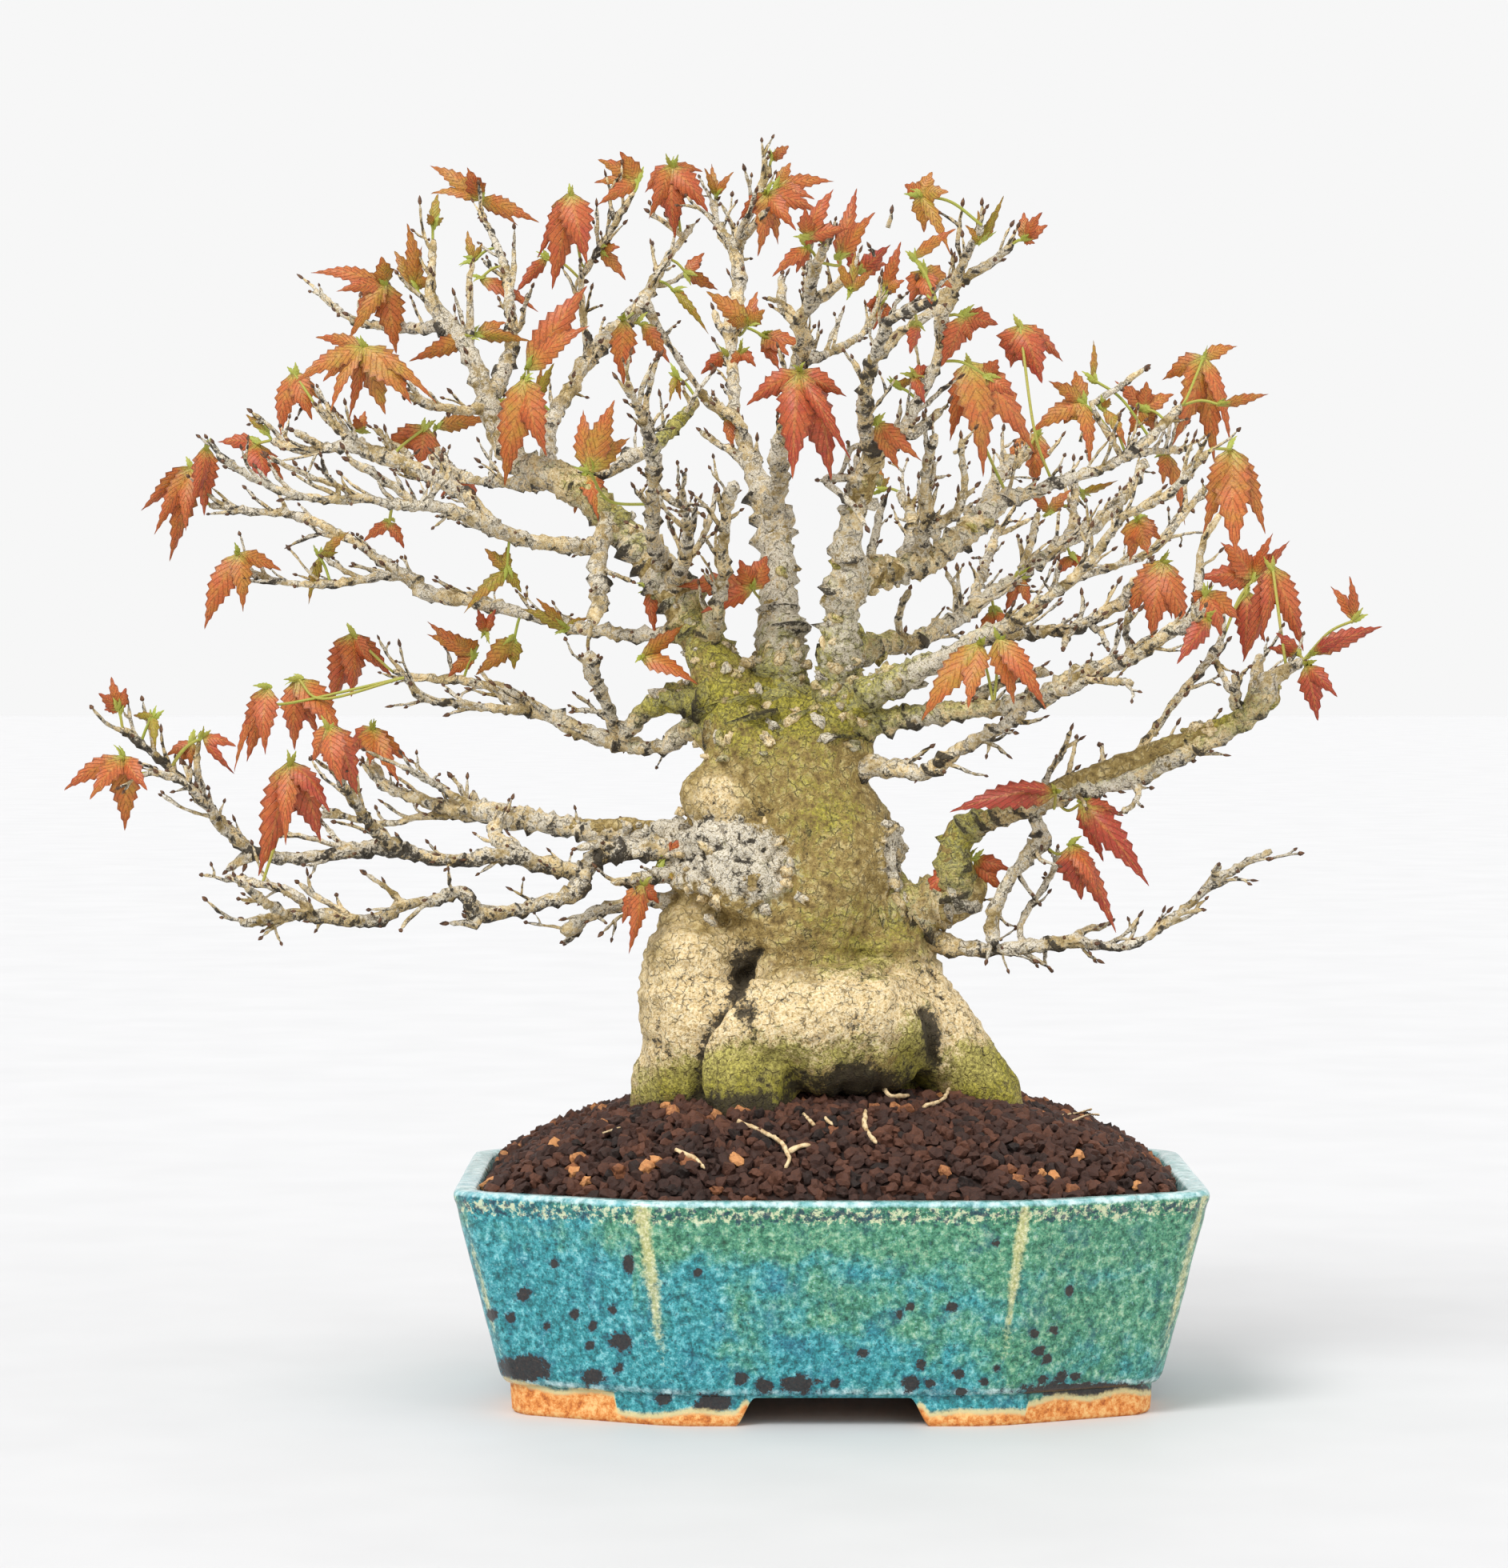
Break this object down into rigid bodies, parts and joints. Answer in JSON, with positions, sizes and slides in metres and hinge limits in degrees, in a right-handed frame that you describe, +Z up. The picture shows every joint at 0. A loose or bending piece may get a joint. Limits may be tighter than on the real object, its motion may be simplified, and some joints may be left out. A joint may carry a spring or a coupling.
{
  "type": "potted bonsai tree",
  "caption": "Maple bonsai with a swollen trunk, fanned bare branches and young red leaf shoots, planted in granular soil in a glazed octagonal pot.",
  "frame": {"origin": "on the ground under the middle of the whole object's bounding box", "axes": "+Z up, -Y towards the tree's front, +X to the tree's right as seen from the front; the longest extent is along X"},
  "size_m": [0.346, 0.197, 0.3467],
  "materials": {
    "pot_glaze": "glossy mottled green-blue glaze over orange clay",
    "soil_granules": "matte dark red-brown baked clay granules",
    "bark": "rough tan bark with green moss and grey lichen",
    "young_leaf": "soft satin orange-red young leaf",
    "screen_plastic": "matte black plastic mesh",
    "clip_wire": "satin brown anodised wire",
    "bare_rootlet": "matte pale root bark"
  },
  "bodies": {
    "root": {"drain_screen_left": "screen_plastic", "drain_screen_right": "screen_plastic", "leaf_crown_fan": "young_leaf", "leaf_crown_hanging": "young_leaf", "leaf_crown_left_drooping": "young_leaf", "leaf_crown_left_pair": "young_leaf", "leaf_crown_left_rising": "young_leaf", "leaf_crown_left_tip": "young_leaf", "leaf_crown_top": "young_leaf", "leaf_crown_umbrella": "young_leaf", "leaf_crown_wing": "young_leaf", "leaf_fifth_left": "young_leaf", "leaf_fifth_left_low": "young_leaf", "leaf_fourth_left": "young_leaf", "leaf_front_pair_left": "young_leaf", "leaf_front_pair_right": "young_leaf", "leaf_inner_left_pair": "young_leaf", "leaf_inner_upright": "young_leaf", "leaf_low_left_dome": "young_leaf", "leaf_low_left_hanging": "young_leaf", "leaf_low_left_middle": "young_leaf", "leaf_low_left_tip": "young_leaf", "leaf_middle_level": "young_leaf", "leaf_middle_red": "young_leaf", "leaf_middle_spread": "young_leaf", "leaf_middle_tips": "young_leaf", "leaf_right_cluster": "young_leaf", "leaf_right_crown": "young_leaf", "leaf_right_far_drooping": "young_leaf", "leaf_right_far_low": "young_leaf", "leaf_right_far_red": "young_leaf", "leaf_right_low_hanging": "young_leaf", "leaf_right_low_pair": "young_leaf", "leaf_right_low_red": "young_leaf", "leaf_right_mid": "young_leaf", "leaf_right_mid_inner": "young_leaf", "leaf_right_orange_fan": "young_leaf", "leaf_right_red_upper": "young_leaf", "leaf_right_top": "young_leaf", "leaf_second_left_far": "young_leaf", "leaf_second_left_mid": "young_leaf", "leaf_second_left_near": "young_leaf", "leaf_third_left_far": "young_leaf", "leaf_third_left_tip": "young_leaf", "leaf_third_left_upper": "young_leaf", "leaf_top_left_cluster": "young_leaf", "leaf_top_left_crown": "young_leaf", "leaf_top_left_shoot": "young_leaf", "leaf_top_left_spread": "young_leaf", "leaf_top_left_upright": "young_leaf", "leaf_trunk_left": "young_leaf", "pot": "pot_glaze", "screen_clip_left": "clip_wire", "screen_clip_right": "clip_wire", "soil": "soil_granules", "surface_rootlet_left": "bare_rootlet", "surface_rootlet_right": "bare_rootlet", "trunk_and_branches": "bark"}
  },
  "joints": []
}
